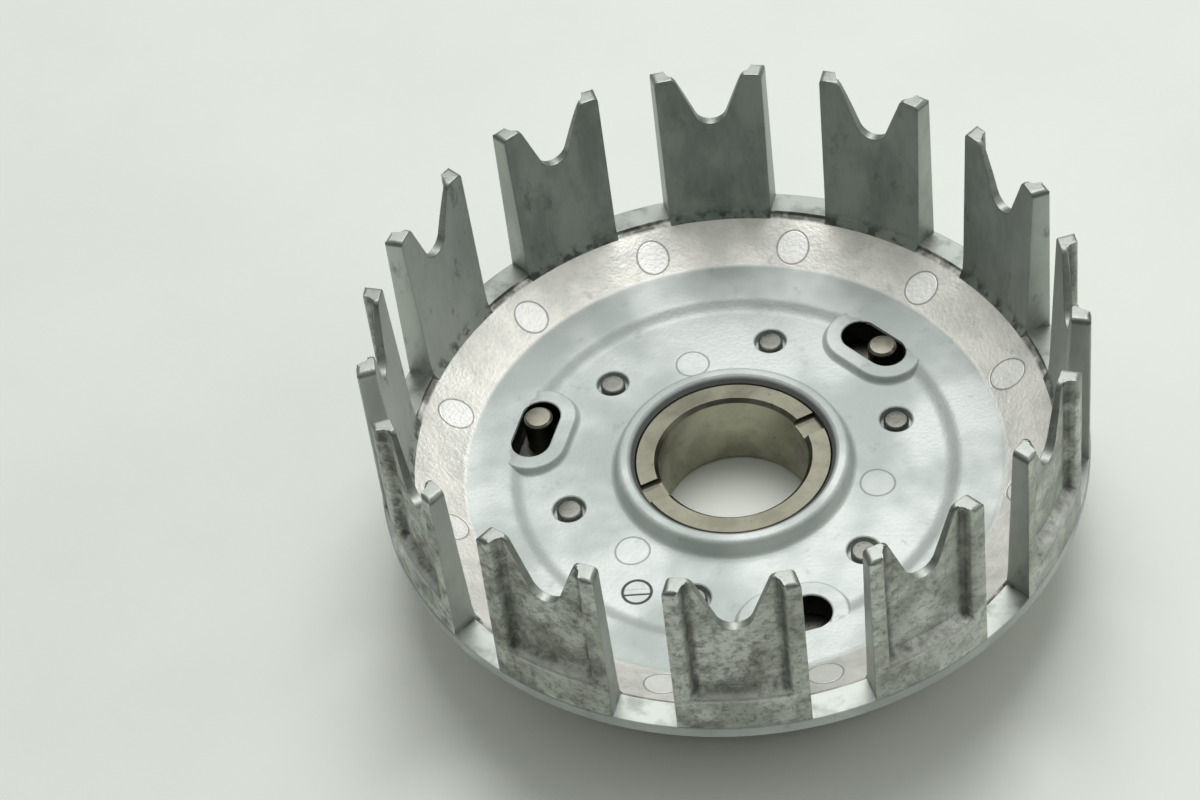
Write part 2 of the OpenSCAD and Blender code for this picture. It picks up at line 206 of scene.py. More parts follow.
def pulled(*way):
    """Fills the open outline and pulls it out into a solid, the way given in mm."""
    bpy.ops.mesh.select_all(action="SELECT")
    bpy.ops.mesh.edge_face_add()
    bpy.ops.mesh.extrude_region_move(TRANSFORM_OT_translate={"value": [w * MM for w in way]})


def along(edge):
    """How far an edge runs along X, Y and Z, each from 0 to 1."""
    way = (edge.verts[0].co - edge.verts[1].co).normalized()
    return Vector((abs(way.x), abs(way.y), abs(way.z)))


def corner_edge(edge, degrees):
    """Whether an edge turns by more than so many degrees."""
    return len(edge.link_faces) == 2 and edge.calc_face_angle() > math.radians(degrees)


def only(*pieces):
    """Selects just these objects, the last of them active."""
    bpy.ops.object.mode_set(mode="OBJECT")
    bpy.ops.object.select_all(action="DESELECT")
    for piece in pieces:
        piece.select_set(True)
    bpy.context.view_layer.objects.active = pieces[-1]


def opened(piece):
    """Opens just this piece in edit mode, all of it selected."""
    only(piece)
    bpy.ops.object.mode_set(mode="EDIT")
    bpy.ops.mesh.select_all(action="SELECT")
    return piece


def modify(piece, kind, **settings):
    """Adds a modifier and applies it."""
    only(piece)
    modifier = piece.modifiers.new(kind.title(), kind)
    for key, value in settings.items():
        setattr(modifier, key, value)
    bpy.ops.object.modifier_apply(modifier=modifier.name)
    return piece


def copied(piece, name, degrees):
    """A copy with its own mesh, turned about the Z axis, its place kept in its mesh."""
    only(piece)
    bpy.ops.object.duplicate(linked=False)
    copy = bpy.context.object
    copy.name = copy.data.name = name
    bpy.ops.object.mode_set(mode="EDIT")
    bpy.ops.mesh.select_all(action="SELECT")
    turn(degrees)
    bpy.ops.object.mode_set(mode="OBJECT")
    return copy


def joined(name, *pieces):
    """Joins the pieces into one object of that name."""
    only(*pieces)
    bpy.ops.object.join()
    whole = bpy.context.object
    whole.name = whole.data.name = name
    return whole


def cut(piece, *cutters):
    """Takes the cutters' shapes out of the piece. The cutters don't touch each other."""
    cutter = joined("cutter", *cutters) if len(cutters) > 1 else cutters[0]
    modify(piece, "BOOLEAN", operation="DIFFERENCE", object=cutter, solver="EXACT")
    bpy.data.objects.remove(cutter)
    return piece


def edges_broken(piece, width, sharp):
    """Takes the sharpness off every edge that turns by more than sharp degrees."""
    modify(piece, "BEVEL", width=width * MM, segments=2, limit_method="ANGLE", angle_limit=math.radians(sharp),
           miter_outer="MITER_SHARP", use_clamp_overlap=True)
    return smooth(piece)


def smooth(piece, angle=32):
    """Shades the piece smooth, but for the edges that turn by more than the angle."""
    only(piece)
    bpy.ops.object.shade_smooth_by_angle(angle=math.radians(angle))
    modify(piece, "WEIGHTED_NORMAL", keep_sharp=True, weight=50)
    return piece


def finish_with(piece, material, test=None):
    """Gives the piece's faces that pass the test a material, or all of them."""
    only(piece)
    if material.name not in [m.name for m in piece.data.materials if m]:
        piece.data.materials.append(material)
    piece.active_material_index = [m.name for m in piece.data.materials].index(material.name)
    bpy.ops.object.mode_set(mode="EDIT")
    choose(piece, "FACE", test or (lambda face: True))
    bpy.ops.object.material_slot_assign()
    bpy.ops.mesh.select_all(action="DESELECT")
    bpy.ops.object.mode_set(mode="OBJECT")
    return piece


def stands_for(piece, body, slot, *nodes):
    """Puts the finished piece on its body in place of its CAD nodes."""
    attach(piece, body)
    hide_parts(*nodes)
    return piece


# ---------------------------------------------------------------- finishes

def linear(hex_colour):
    """A hex colour as linear red, green, blue, alpha."""
    parts = [int(hex_colour[i:i + 2], 16) / 255 for i in (1, 3, 5)]
    return tuple(c / 12.92 if c <= 0.04045 else ((c + 0.055) / 1.055) ** 2.4 for c in parts) + (1.0,)


def add(tree, kind, inputs=None, out=0, **settings):
    """Adds a node with its settings and links, and gives back one of its outputs. An input, known by its name or its
    place among the node's working inputs, is a fixed value or a socket to link from."""
    node = tree.nodes.new("ShaderNode" + kind)
    for key, value in settings.items():
        setattr(node, key, value)
    working = [socket for socket in node.inputs if socket.enabled]
    for key, value in (inputs or {}).items():
        socket = working[key] if isinstance(key, int) else next(s for s in working if s.name == key)
        if isinstance(value, bpy.types.NodeSocket):
            tree.links.new(value, socket)
        else:
            socket.default_value = value
    outputs = [socket for socket in node.outputs if socket.enabled]
    return outputs[out] if outputs else None


def blank(name):
    """A material with an empty node tree, and its object coordinates."""
    material = bpy.data.materials.new(name)
    material.use_nodes = True
    material.node_tree.nodes.clear()
    return material, material.node_tree, add(material.node_tree, "TexCoord", out=3)


def patches(tree, where, size_mm, low, high, detail=3.0, rough=0.55):
    """A pattern from 0 to 1 of soft patches about size_mm across. Low and high set how much of it shows."""
    noise = add(tree, "TexNoise", {"Vector": where, "Scale": 1 / (size_mm * MM), "Detail": detail, "Roughness": rough})
    return add(tree, "MapRange", {"Value": noise, "From Min": low, "From Max": high}, interpolation_type="SMOOTHSTEP")


def between(tree, value, low, high, soft):
    """1 where value lies between low and high, in mm, falling to 0 over soft mm outside them."""
    up = add(tree, "MapRange", {"Value": value, "From Min": (low - soft) * MM, "From Max": low * MM})
    down = add(tree, "MapRange", {"Value": value, "From Min": (high + soft) * MM, "From Max": high * MM})
    return add(tree, "Math", {0: up, 1: down}, operation="MULTIPLY")


def tinted(tree, colour, paint, share, *amounts):
    """The colour, with share of the paint laid over it wherever every amount is 1."""
    for amount in amounts:
        share = add(tree, "Math", {0: amount, 1: share}, operation="MULTIPLY")
    return add(tree, "Mix", {"Factor": share, "A": colour, "B": linear(paint)}, data_type="RGBA")


def round_the_axis(tree, where, sectors, first=0.0):
    """The radius and height, and the angle from the middle of the nearest of so many equal sectors."""
    x, y, z = (add(tree, "SeparateXYZ", {"Vector": where}, out=i) for i in range(3))
    r = add(tree, "VectorMath", {0: add(tree, "CombineXYZ", {"X": x, "Y": y})}, out=0, operation="LENGTH")
    angle = add(tree, "Math", {0: y, 1: x}, operation="ARCTAN2")
    half = math.pi / sectors
    middle_angle = add(tree, "Math", {0: angle, 1: math.radians(first)}, operation="SUBTRACT")
    return r, z, add(tree, "Math", {0: middle_angle, 1: half, 2: -half}, operation="WRAP")


def from_mark(tree, r, angle, mark_r):
    """Distance from a point at radius mark_r mm in the middle of each sector."""
    beside = add(tree, "Math", {0: angle, 1: r}, operation="MULTIPLY")
    out = add(tree, "Math", {0: r, 1: mark_r * MM}, operation="SUBTRACT")
    return add(tree, "VectorMath", {0: add(tree, "CombineXYZ", {"X": beside, "Y": out})}, operation="LENGTH")


def around(tree, where):
    """The direction round the axis, which is the way that turning leaves its tool lines."""
    x, y = (add(tree, "SeparateXYZ", {"Vector": where}, out=i) for i in range(2))
    back = add(tree, "Math", {0: y, 1: -1.0}, operation="MULTIPLY")
    return add(tree, "VectorTransform", {"Vector": add(tree, "CombineXYZ", {"X": back, "Y": x})},
               vector_type="VECTOR", convert_from="OBJECT", convert_to="WORLD")


def metal(tree, colour, roughness, height, depth_mm, **inputs):
    """Ends a material: the metal's shader over its bumps, and the output."""
    normal = add(tree, "Bump", {"Height": height, "Distance": depth_mm * MM})
    settings = {"Base Color": colour, "Roughness": roughness, "Metallic": 1.0, "Normal": normal}
    settings.update(inputs)
    add(tree, "OutputMaterial", {"Surface": add(tree, "BsdfPrincipled", settings)})


def cast_aluminium(finishes):
    """Die-cast aluminium, shot-blasted. The eye gets a pale, cool satin skin with soft clouds and a fine grain,
    brighter on the burnished cone and a little darker on the low step, with the thin circles that ejector pins leave.
    Painted shade lies at the fingers' feet, round the boss's mouth, round each ejector mark and in the date insert."""
    material, tree, where = blank("shot-blasted die-cast aluminium")
    r, z, angle = round_the_axis(tree, where, FINGERS, 180 / FINGERS)
    clouds = patches(tree, where, 26, 0.38, 0.66)
    colour = add(tree, "Mix", {"Factor": clouds, "A": linear(finishes.cast_dark), "B": linear(finishes.cast_light)},
                 data_type="RGBA")
    cone = between(tree, r, 64, 76, 1.0)
    colour = tinted(tree, colour, "#F6F3EC", 0.9, cone)
    colour = tinted(tree, colour, "#B3B7B0", 0.32, cone, patches(tree, where, 9, 0.4, 0.62, detail=6, rough=0.65))
    # a little darker on the low step between the floor and the band, all round
    colour = tinted(tree, colour, "#A3ABA6", 0.2, between(tree, r, 50.2, 53.0, 1.4))
    # oil and painted shade in the corner at the fingers' feet, and oil spattered elsewhere
    colour = tinted(tree, colour, "#43443E", 0.85, between(tree, r, 75.1, 76.6, 0.6), patches(tree, where, 5, 0.3, 0.6, detail=6))
    colour = tinted(tree, colour, "#8B918A", 0.35, patches(tree, where, 5, 0.6, 0.74, detail=6, rough=0.6))
    # ejector marks: 8.2 mm across between the fingers, drawn on the flange's rear too, and three 8 mm ones on the floor
    outer_marks = from_mark(tree, r, angle, 68.3)
    inner_marks = from_mark(tree, r, round_the_axis(tree, where, DAMPERS, SPRING_ANGLE)[2], 34.4)
    spot = add(tree, "Math", {0: outer_marks, 1: inner_marks}, operation="MINIMUM")
    upper = between(tree, z, 17, 40, 0.2)
    ring = add(tree, "Math", {0: between(tree, spot, 3.9, 4.1, 0.16), 1: upper}, operation="MULTIPLY")
    disc = add(tree, "Math", {0: between(tree, spot, -1, 3.9, 0.1), 1: upper}, operation="MULTIPLY")
    colour = tinted(tree, colour, "#F4F6F2", 0.08, disc)
    colour = tinted(tree, colour, "#FCFCFA", 0.6, disc, cone)
    # painted shade: the dark ring round each ejector mark stands for the shade along its edge
    colour = tinted(tree, colour, "#70746E", 0.6, ring)
    # painted shade on the boss's chamfer, round its mouth where the hub sleeve goes in
    colour = tinted(tree, colour, "#2F2D27", 0.8, between(tree, r, 20, 24.0, 0.5))
    # the date insert: a sunk ring with a bar across it. The dark ring round it and the dark line under the bar are
    # painted shade
    turn_of = math.radians(DATE_ANGLE)
    date = [c * MM for c in (DATE_CIRCLE * math.cos(turn_of), DATE_CIRCLE * math.sin(turn_of), FLOOR_TOP)]
    insert = add(tree, "VectorMath", {0: where, 1: date}, operation="SUBTRACT")
    insert_r = add(tree, "VectorMath", {0: insert}, operation="LENGTH")
    insert_y = add(tree, "SeparateXYZ", {"Vector": insert}, out=1)
    dial = between(tree, insert_r, -1, 3.3, 0.1)
    bar_shade_line = add(tree, "Math", {0: between(tree, insert_y, -0.95, -0.6, 0.15), 1: dial}, operation="MULTIPLY")
    outline = add(tree, "Math", {0: between(tree, insert_r, 3.05, 3.55, 0.2), 1: bar_shade_line}, operation="MAXIMUM")
    colour = tinted(tree, colour, "#33342E", 0.95, outline)
    sunk = add(tree, "Math", {0: dial, 1: between(tree, insert_y, -0.6, 0.6, 0.2)}, operation="SUBTRACT")
    sunk = add(tree, "Math", {0: ring, 1: sunk}, operation="MAXIMUM")
    grain = patches(tree, where, 0.9, 0.3, 0.7, detail=2)     # the real grain is about 0.2 mm: drawn coarser, so that it shows
    height = add(tree, "Math", {0: patches(tree, where, 6, 0.25, 0.75), 1: 1.3, 2: grain}, operation="MULTIPLY_ADD")
    height = add(tree, "Math", {0: sunk, 1: -2.0, 2: height}, operation="MULTIPLY_ADD")
    mean = finishes.cast_roughness
    dull = add(tree, "MapRange", {"Value": clouds, "To Min": mean + 0.06, "To Max": mean - 0.05})
    rough = add(tree, "Math", {0: cone, 1: -0.08, 2: dull}, operation="MULTIPLY_ADD")
    sheen = add(tree, "Math", {0: cone, 1: 0.4, 2: 0.42}, operation="MULTIPLY_ADD")
    metal(tree, colour, rough, height, 0.03, Metallic=sheen)
    return material


def worn_seat(name, light, dark):
    """Die-cast aluminium that the plates' tabs rub: broached, burnished, and stained grey-green by hot oil.
    The eye gets a smooth dull face with cloudy smears, a few dark stains and faint upright streaks. The seats that face
    the sides are lightened with painted light, and the foot is darkened with oil and painted shade."""
    material, tree, where = blank(name)
    tall = add(tree, "Mapping", {"Vector": where, "Scale": (1, 1, 0.45), "Rotation": (0.35, 0.2, 0)})
    smears = patches(tree, tall, 11, 0.36, 0.66, detail=5, rough=0.6)
    streaks = patches(tree, add(tree, "Mapping", {"Vector": where, "Scale": (1, 1, 0.07)}), 0.8, 0.3, 0.7, detail=3)
    colour = add(tree, "Mix", {"Factor": smears, "A": linear(dark), "B": linear(light)}, data_type="RGBA")
    colour = tinted(tree, colour, "#D5DAD5", 0.05, streaks)
    # painted light: the seats that face the sides, far out along X, are made lighter, standing in for the side light on
    # them
    x = add(tree, "SeparateXYZ", {"Vector": where})
    right = add(tree, "Math", {0: x, 1: 16 * MM}, operation="SUBTRACT")
    left = add(tree, "Math", {0: x, 1: -1.0}, operation="MULTIPLY")
    across = add(tree, "Math", {0: right, 1: left}, operation="MAXIMUM")
    colour = tinted(tree, colour, "#DDE1DC", 0.5,
                    add(tree, "MapRange", {"Value": across, "From Min": 48 * MM, "From Max": 74 * MM}))
    colour = tinted(tree, colour, "#4A4E47", 0.5, patches(tree, tall, 6, 0.56, 0.7, detail=8, rough=0.7))
    # oil and painted shade darken the foot of the face, down by the floor
    foot = between(tree, add(tree, "SeparateXYZ", {"Vector": where}, out=2), 20, 28.2, 2.6)
    colour = tinted(tree, colour, "#3E3D36", 0.7, foot, patches(tree, where, 3, 0.46, 0.6, detail=5))
    rough = add(tree, "MapRange", {"Value": smears, "To Min": 0.36, "To Max": 0.5})
    metal(tree, colour, rough, streaks, 0.006, Metallic=0.8)
    return material


def weathered_skin(finishes):
    """The casting's outer skin, die-cast aluminium left as cast, greyed and freckled with brown-black oxide and baked
    oil.
    The eye gets a mottled dull grey, with painted shade in the corners beside the ribs and a painted highlight on the
    lip below the pocket. Its freckles and dark patches are heavier towards -X."""
    material, tree, where = blank("oxidised die-cast aluminium")
    r, z, angle = round_the_axis(tree, where, FINGERS)
    side = add(tree, "Math", {0: add(tree, "Math", {0: angle}, operation="ABSOLUTE"), 1: r}, operation="MULTIPLY")
    clouds = patches(tree, where, 12, 0.35, 0.68, detail=5)
    freckles = patches(tree, where, 2.6, 0.48, 0.66, detail=8, rough=0.7)
    # the freckles and dark patches are laid on more heavily towards -X than towards +X
    x = add(tree, "SeparateXYZ", {"Vector": where})
    heavier_to_minus_x = add(tree, "MapRange", {"Value": x, "From Min": -25 * MM, "From Max": 50 * MM, "To Min": 1.0, "To Max": 0.42})
    colour = add(tree, "Mix", {"Factor": clouds, "A": linear(finishes.skin_dark), "B": linear(finishes.skin_light)},
                 data_type="RGBA")
    colour = tinted(tree, colour, "#60605A", 0.5, freckles, heavier_to_minus_x)
    colour = tinted(tree, colour, "#4E4C43", 0.55, patches(tree, where, 8, 0.46, 0.68, detail=7, rough=0.65), heavier_to_minus_x)
    colour = tinted(tree, colour, "#6C6C64", 0.35, patches(tree, where, 1.1, 0.5, 0.68))
    colour = tinted(tree, colour, "#45453E", 0.45, patches(tree, where, 1.6, 0.55, 0.64, detail=8, rough=0.75), heavier_to_minus_x)
    # painted shade, broken into patches, in the corners beside the ribs, and a painted highlight along the lip below
    # the pocket
    colour = tinted(tree, colour, "#3B3A32", 0.7, between(tree, side, 9.0, 9.9, 0.9), between(tree, z, 39, 90, 2),
                    between(tree, r, 70, 80.5, 0.6), patches(tree, where, 7, 0.25, 0.6, detail=6))
    # painted highlight: a pale band along the lip below the pocket, where it faces up
    colour = tinted(tree, colour, "#E4E7E2", 0.5, between(tree, z, 37.4, 38.4, 0.5), between(tree, side, -1, 7.6, 1.6))
    rough = add(tree, "MapRange", {"Value": freckles, "To Min": 0.5, "To Max": 0.75})
    crust = add(tree, "Math", {0: freckles, 1: 0.4, 2: patches(tree, where, 1.2, 0.25, 0.75, detail=4)}, operation="MULTIPLY_ADD")
    bare = add(tree, "MapRange", {"Value": freckles, "To Min": 0.9, "To Max": 0.3})
    metal(tree, colour, rough, crust, 0.07, Metallic=bare)
    return material


def turned_aluminium(finishes):
    """Aluminium fresh from the lathe: the sills between the fingers. The eye gets a bright clean face whose fine tool
    lines round the axis draw the light out into a bow."""
    material, tree, where = blank("turned aluminium")
    r = round_the_axis(tree, where, FINGERS)[0]
    # tool lines are about 0.1 mm apart: drawn 0.4 mm apart, so that they show
    lines = add(tree, "TexNoise", {"Vector": add(tree, "CombineXYZ", {"X": r}), "Scale": 1 / (0.4 * MM), "Detail": 2.0})
    marks = patches(tree, where, 5, 0.45, 0.7, detail=5)
    colour = add(tree, "Mix", {"Factor": marks, "A": linear(finishes.turned_light), "B": linear(finishes.turned_dark)},
                 data_type="RGBA")
    colour = tinted(tree, colour, "#7B7F78", 0.4, patches(tree, where, 1.6, 0.6, 0.72, detail=4))
    rough = add(tree, "MapRange", {"Value": lines, "To Min": 0.42, "To Max": 0.52})
    metal(tree, colour, rough, lines, 0.006, Metallic=0.75, Anisotropic=0.28, Tangent=around(tree, where))
    return material


def turned_steel(name, light, dark, roughness, grime):
    """Hardened steel, turned and ground. The eye gets a warm grey with fine lines round the axis, a faint oil tint and
    a few dark specks."""
    material, tree, where = blank(name)
    r, z = round_the_axis(tree, where, FINGERS)[:2]
    # grinding lines are about 0.05 mm apart: drawn 0.3 mm apart, so that they show
    lines = add(tree, "TexNoise", {"Vector": add(tree, "CombineXYZ", {"X": r, "Y": z}), "Scale": 1 / (0.3 * MM), "Detail": 3.0})
    stain = patches(tree, where, 7, 0.36, 0.68, detail=5)
    colour = add(tree, "Mix", {"Factor": stain, "A": linear(dark), "B": linear(light)}, data_type="RGBA")
    colour = tinted(tree, colour, light, 0.18, lines)
    colour = tinted(tree, colour, "#2E2B26", grime, patches(tree, where, 1.5, 0.68, 0.73, detail=4, rough=0.6))
    rough = add(tree, "MapRange", {"Value": stain, "To Min": roughness - 0.05, "To Max": roughness + 0.07})
    metal(tree, colour, rough, lines, 0.006, Anisotropic=0.4, Tangent=around(tree, where))
    return material


def formed_steel(name, light, dark, roughness, pit=0.4):
    """Steel as it is pressed, headed, hobbed or wound, with an oil film. The eye gets an even grey with darker clouds and
    tiny pits."""
    material, tree, where = blank(name)
    clouds = patches(tree, where, 8, 0.36, 0.66, detail=5)
    colour = add(tree, "Mix", {"Factor": clouds, "A": linear(dark), "B": linear(light)}, data_type="RGBA")
    colour = tinted(tree, colour, "#2A2926", pit, patches(tree, where, 0.8, 0.58, 0.7))
    rough = add(tree, "MapRange", {"Value": clouds, "To Min": roughness - 0.06, "To Max": roughness + 0.08})
    metal(tree, colour, rough, patches(tree, where, 0.7, 0.3, 0.7), 0.012)
    return material


def painted_top(colour):
    """A painted table top. The eye gets a plain pale semi-matt surface."""
    material, tree, where = blank("painted table top")
    paint = tinted(tree, linear(colour), "#D8DDD5", 0.35, patches(tree, where, 70, 0.35, 0.7))
    metal(tree, paint, 0.45, patches(tree, where, 5, 0.3, 0.7), 0.02, Metallic=0.0)
    return material


# ---------------------------------------------------------------- sizes, colours and places

class CastingSizes(bpy.types.PropertyGroup):
    bore_radius: bpy.props.FloatProperty(name="Drum bore radius", description="Radius inside the fingers, at their feet, in mm",
        default=76.0, min=70, max=90)
    sill: bpy.props.FloatProperty(name="Sill height", description="Height of the bright sills between the fingers, in mm",
        default=28.5, min=20, max=40)
    gap: bpy.props.FloatProperty(name="Gap", description="Width of the gap that a plate's tab slides in, in mm",
        default=14.0, min=10, max=17)
    notch_width: bpy.props.FloatProperty(name="Notch width", description="Width of the notch in a finger's tip, in mm",
        default=16.0, min=12, max=18)
    notch_depth: bpy.props.FloatProperty(name="Notch depth", description="Depth of that notch, in mm",
        default=15.0, min=10, max=20)
    edge: bpy.props.FloatProperty(name="Edge rounding", description="Rounding on the casting's edges, in mm",
        default=0.32, min=0.1, max=0.8)
    steps: bpy.props.IntProperty(name="Smoothness", description="Number of facets round the casting",
        default=240, min=96, max=360)


class SteelSizes(bpy.types.PropertyGroup):
    hub_bore: bpy.props.FloatProperty(name="Hub bore", description="Bore of the hub sleeve, in mm",
        default=35.5, min=30, max=38)
    hub: bpy.props.FloatProperty(name="Hub", description="Outside diameter of the hub sleeve, in mm",
        default=46.54, min=40, max=46.54)
    notch: bpy.props.FloatProperty(name="Hub notch", description="Width of the two notches in its face, in mm",
        default=5.7, min=3, max=8)
    pin: bpy.props.FloatProperty(name="Stop pin", description="Diameter of a stop pin, in mm",
        default=7.0, min=5, max=8.4)
    spring_length: bpy.props.FloatProperty(name="Spring length", description="Length of a damper spring in its window, in mm",
        default=24.0, min=20, max=24)


class Finishes(bpy.types.PropertyGroup):
    cast_light: bpy.props.StringProperty(name="Casting, light", description="Hex colour of the clean casting",
        default="#CDD2CF")
    cast_dark: bpy.props.StringProperty(name="Casting, dark", description="Hex colour of the casting's clouds",
        default="#B5BCB9")
    cast_roughness: bpy.props.FloatProperty(name="Casting roughness", description="How matt the clean casting is",
        default=0.58, subtype="FACTOR", min=0, max=1)
    seat_light: bpy.props.StringProperty(name="Plate seat, light", description="Hex colour of the fingers' inner faces",
        default="#AAB1AA")
    seat_dark: bpy.props.StringProperty(name="Plate seat, dark", description="Hex colour of the smears on them",
        default="#858D86")
    side_light: bpy.props.StringProperty(name="Finger sides, light", description="Hex colour of the fingers' sides",
        default="#B7BCB6")
    side_dark: bpy.props.StringProperty(name="Finger sides, dark", description="Hex colour of the smears on them",
        default="#969C95")
    skin_light: bpy.props.StringProperty(name="Outer skin, light", description="Hex colour of the outer skin",
        default="#D8DBD4")
    skin_dark: bpy.props.StringProperty(name="Outer skin, dark", description="Hex colour of the outer skin's clouds",
        default="#AEB1A9")
    turned_light: bpy.props.StringProperty(name="Turned faces, light", description="Hex colour of the lathe-turned aluminium",
        default="#A6ABA5")
    turned_dark: bpy.props.StringProperty(name="Turned faces, dark", description="Hex colour of the marks on it",
        default="#868B85")


class StageSettings(bpy.types.PropertyGroup):
    camera_place: bpy.props.FloatVectorProperty(name="Camera place", description="Where the camera stands",
        default=(0.0148, -0.38505, 0.46424), subtype="XYZ", unit="LENGTH")
    camera_ahead: bpy.props.FloatVectorProperty(name="Camera direction", description="The way the camera looks",
        default=(-0.07672, 0.67367, -0.73504), subtype="DIRECTION")
    camera_up: bpy.props.FloatVectorProperty(name="Camera up", description="The camera's up direction",
        default=(0.07143, 0.73903, 0.66987), subtype="DIRECTION")
    lens: bpy.props.FloatProperty(name="Lens", description="Focal length", default=74.77, unit="CAMERA")
    key_place: bpy.props.FloatVectorProperty(name="Overhead light's place", description="Where the large overhead light hangs",
        default=(0.08, 0.52, 1.2), subtype="XYZ", unit="LENGTH")
    key_size: bpy.props.FloatProperty(name="Overhead light's size", description="Its width",
        default=0.85, unit="LENGTH")
    key_power: bpy.props.FloatProperty(name="Overhead light", description="Its power in watts", default=9.9, min=0)
    fill_place: bpy.props.FloatVectorProperty(name="Side light's place", description="Where the soft side light hangs",
        default=(1.25, -0.15, 0.75), subtype="XYZ", unit="LENGTH")
    fill_power: bpy.props.FloatProperty(name="Side light", description="Its power in watts", default=2.2, min=0)
    ceiling: bpy.props.FloatProperty(name="Ceiling", description="Strength of the room's light from straight above",
        default=0.62, min=0, max=3)
    horizon: bpy.props.FloatProperty(name="Walls", description="Strength of the room's light from the sides",
        default=0.06, min=0, max=3)
    table: bpy.props.StringProperty(name="Table", description="Hex colour of the table", default="#E2E6DF")


# ---------------------------------------------------------------- the casting

def kidney(name, half_width, z, facets=48):
    """The outline of a stop pin's slot at angle 0, half_width mm either side of its middle line: one face at height z,
    from a disc whose two halves are turned apart."""
    piece = fresh(bpy.ops.mesh.primitive_circle_add, name, vertices=facets, radius=half_width * MM, fill_type="NGON",
                  location=(PIN_CIRCLE * MM, 0, z * MM), rotation=(0, 0, math.pi / facets))
    settled()
    for side in (1, -1):
        choose(piece, "VERT", lambda v: v.co.y * side > 0)
        turn(side * SLOT_SWEEP)
    return piece


def off_slot(face):
    """How far a face's middle lies from the middle line of a slot at angle 0, in mm."""
    point, limit = middle(face), math.radians(SLOT_SWEEP)
    angle = max(-limit, min(limit, math.atan2(point.y, point.x)))
    return math.hypot(point.x - PIN_CIRCLE * math.cos(angle), point.y - PIN_CIRCLE * math.sin(angle))


def slot_pad():
    """The raised pad round a stop pin's slot, open in the middle."""
    floor, top, half = FLOOR_TOP, FLOOR_TOP + 1.9, 9.9
    pad = kidney("slot_pad", half, floor - 0.08)
    bpy.ops.mesh.select_all(action="SELECT")
    bpy.ops.mesh.normals_make_consistent(inside=False)
    if bmesh.from_edit_mesh(pad.data).faces[:][0].normal.z < 0:
        bpy.ops.mesh.flip_normals()
    choose(pad, "FACE", lambda f: True)
    flank = ((0.3, 0.07), (0.25, 0.14), (0.2, 0.18), (0.16, 0.25), (0.12, 0.42), (0.1, 0.42), (0.12, 0.32), (0.16, 0.20),
             (0.22, 0.10), (0.3, 0.04))
    for inwards, up in flank:
        bpy.ops.mesh.inset(thickness=inwards * MM, depth=up * MM, use_even_offset=True)
    flat = half - sum(step[0] for step in flank) - SLOT_HALF - 0.5
    bpy.ops.mesh.inset(thickness=flat * MM, depth=0, use_even_offset=True)
    for inwards, down in ((0.16, 0.02), (0.14, 0.06), (0.12, 0.13), (0.08, 0.20)):
        bpy.ops.mesh.inset(thickness=inwards * MM, depth=-down * MM, use_even_offset=True)
    bpy.ops.mesh.extrude_region_move(TRANSFORM_OT_translate={"value": (0, 0, (SLOT_FOOT - top + 0.29) * MM)})
    bpy.ops.mesh.delete(type="ONLY_FACE")
    # past the step the pad sinks into the band, whose own edge takes over
    choose(pad, "VERT", lambda v: radius(v.co) > 53.5 * MM and v.co.z > (floor + 1) * MM)
    shift(z=-0.5)
    choose(pad, "EDGE", lambda e: e.is_boundary and e.verts[0].co.z > 15 * MM)
    bpy.ops.mesh.extrude_edges_move(TRANSFORM_OT_translate={"value": (0, 0, (SLOT_FOOT - floor + 0.08) * MM)})
    choose(pad, "EDGE", lambda e: e.is_boundary)
    bpy.ops.mesh.bridge_edge_loops()
    return smooth(tidy(pad))


def bowl(sizes):
    """The turned body of the casting: boss, floor, step, band, cone, sill, flange and rear face."""
    sill, bore, floor = sizes.sill, sizes.bore_radius, FLOOR_TOP
    body = spun("bowl", (
        (23.32, 13.6, 0), (23.32, 21.3, 0), (24.5, 22.55, 0.5), (25.0, 22.9, 0.4), (27.2, 22.9, 1.5), (28.35, floor, 1.3),
        (50.3, floor, 4.2), (52.9, floor + 1.9, 4.2), (54.6, floor + 1.95, 0), (63.2, floor + 2.5, 5.0),
        (bore - 0.55, sill - 1.15, 0.5), (bore, sill - 0.9, 0.15), (bore + 0.08, sill, 0.12), (RIM, sill, 0.35),
        (RIM, sill - 2.9, 0.9), (RIM - 1.2, sill - 3.9, 0.8), (80.2, 24.6, 3), (75.2, 22.2, 2), (68.0, 18.5, 3), (63.4, 16.3, 2),
        (59.8, 16.3, 0.8), (58.9, 13.6, 0.5)), sizes.steps)
    tools = []
    for i in range(DAMPERS):
        hole = kidney(f"slot_tool_{i}", SLOT_HALF + 0.05, 12)
        choose(hole, "FACE", lambda f: True)
        bpy.ops.mesh.extrude_region_move(TRANSFORM_OT_translate={"value": (0, 0, 12 * MM)})
        tidy(hole)
        tools.append(copied(hole, f"slot_cut_{i}", SLOT_ANGLE + 120 * i))
        bpy.data.objects.remove(hole)
    seat = moved_out(spun("rivet_tool", ((0, 12, 0), (2.66, 12, 0), (2.66, 16.4, 0), (3.9, 16.4, 0), (3.9, floor - 0.22, 0.2),
                                         (4.25, floor + 0.02, 0), (4.25, 24, 0), (0, 24, 0)), 40, closed=False), RIVET_CIRCLE)
    tools += [copied(seat, f"rivet_cut_{i}", RIVET_ANGLE + 60 * i) for i in range(RIVETS)]
    bpy.data.objects.remove(seat)
    trough = fresh(bpy.ops.mesh.primitive_cylinder_add, "trough_tool", vertices=40, radius=6.4 * MM, depth=24.2 * MM,
                   location=(SPRING_CIRCLE * MM, 0, SPRING_Z * MM), rotation=(math.pi / 2, 0, 0))
    settled()
    tools += [copied(trough, f"trough_cut_{i}", SPRING_ANGLE + 120 * i) for i in range(DAMPERS)]
    bpy.data.objects.remove(trough)
    cut(body, *tools)
    return smooth(body)


